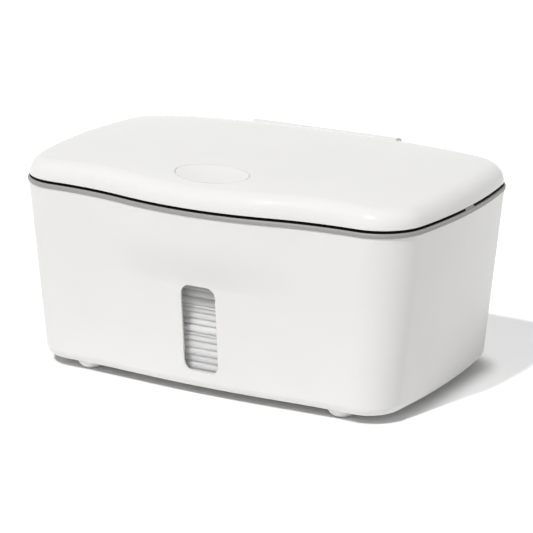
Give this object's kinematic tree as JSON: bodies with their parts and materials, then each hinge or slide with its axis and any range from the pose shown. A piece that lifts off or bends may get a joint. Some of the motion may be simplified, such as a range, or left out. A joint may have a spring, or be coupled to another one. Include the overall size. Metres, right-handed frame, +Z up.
{
  "type": "countertop wipes dispenser",
  "caption": "White lidded tub for wipes: thumb dish opens a rear-hinged lid over a floating weighted plate; level window in front.",
  "frame": {"origin": "centre of the overall box, on the table under the feet", "axes": "+X along the tub's long side, to the right seen from the front; +Y from the front, where the window is, to the hinge; +Z up"},
  "size_m": [0.226, 0.1416, 0.1114],
  "materials": {
    "white_plastic": "semi-gloss moulded white",
    "lid_plastic": "semi-gloss moulded white",
    "clear_plastic": "clear polished",
    "grey_plastic": "satin grey",
    "foot_rubber": "matt translucent white",
    "latch_plastic": "natural acetal",
    "liner_plastic": "satin white",
    "gasket_rubber": "matt black",
    "plate_plastic": "satin white",
    "weight_steel": "plain sheared bar",
    "steel": "ground rod",
    "spring_steel": "drawn wire",
    "screw_steel": "zinc plated",
    "wipes_fabric": "folded damp non-woven"
  },
  "bodies": {
    "tub": {"tub_shell": "white_plastic", "window_pane": "clear_plastic", "rim_ring": "grey_plastic", "feet": "foot_rubber", "latch_catch": "latch_plastic", "hinge_housing": "white_plastic", "hinge_bushes": "latch_plastic", "hinge_pin": "steel", "hinge_springs": "spring_steel", "housing_screws": "screw_steel", "wipes_stack": "wipes_fabric"},
    "lid": {"lid_shell": "lid_plastic", "lid_liner": "liner_plastic", "lid_gasket": "gasket_rubber", "liner_screws": "screw_steel", "button_springs": "spring_steel"},
    "button": {"push_button": "lid_plastic"},
    "bolt": {"latch_bolt": "latch_plastic", "cam_pin": "steel"},
    "plate": {"plate_cover": "plate_plastic", "plate_base": "plate_plastic", "plate_weights": "weight_steel", "plate_screws": "screw_steel"}
  },
  "joints": [
    {"name": "lid_hinge", "type": "hinge", "parent": "tub", "child": "lid", "pos_m": [0, 0.0646, 0.1022], "axis": [-1, 0, 0], "range_deg": [0, 95]},
    {"name": "button_press", "type": "slide", "parent": "lid", "child": "button", "axis": [0, 0, -1], "range_m": [0, 0.0025], "stiffness_N_per_m": 600, "springref_m": -0.003, "deforming": ["button_springs"]},
    {"name": "latch_draw", "type": "slide", "parent": "lid", "child": "bolt", "axis": [0, 1, 0], "range_m": [0, 0.0025]},
    {"name": "plate_drop", "type": "slide", "parent": "tub", "child": "plate", "axis": [0, 0, 1], "range_m": [-0.056, 0], "deforming": ["wipes_stack"]}
  ],
  "couplings": [
    {"joint": "latch_draw", "follows": "button_press", "ratio": 1}
  ]
}
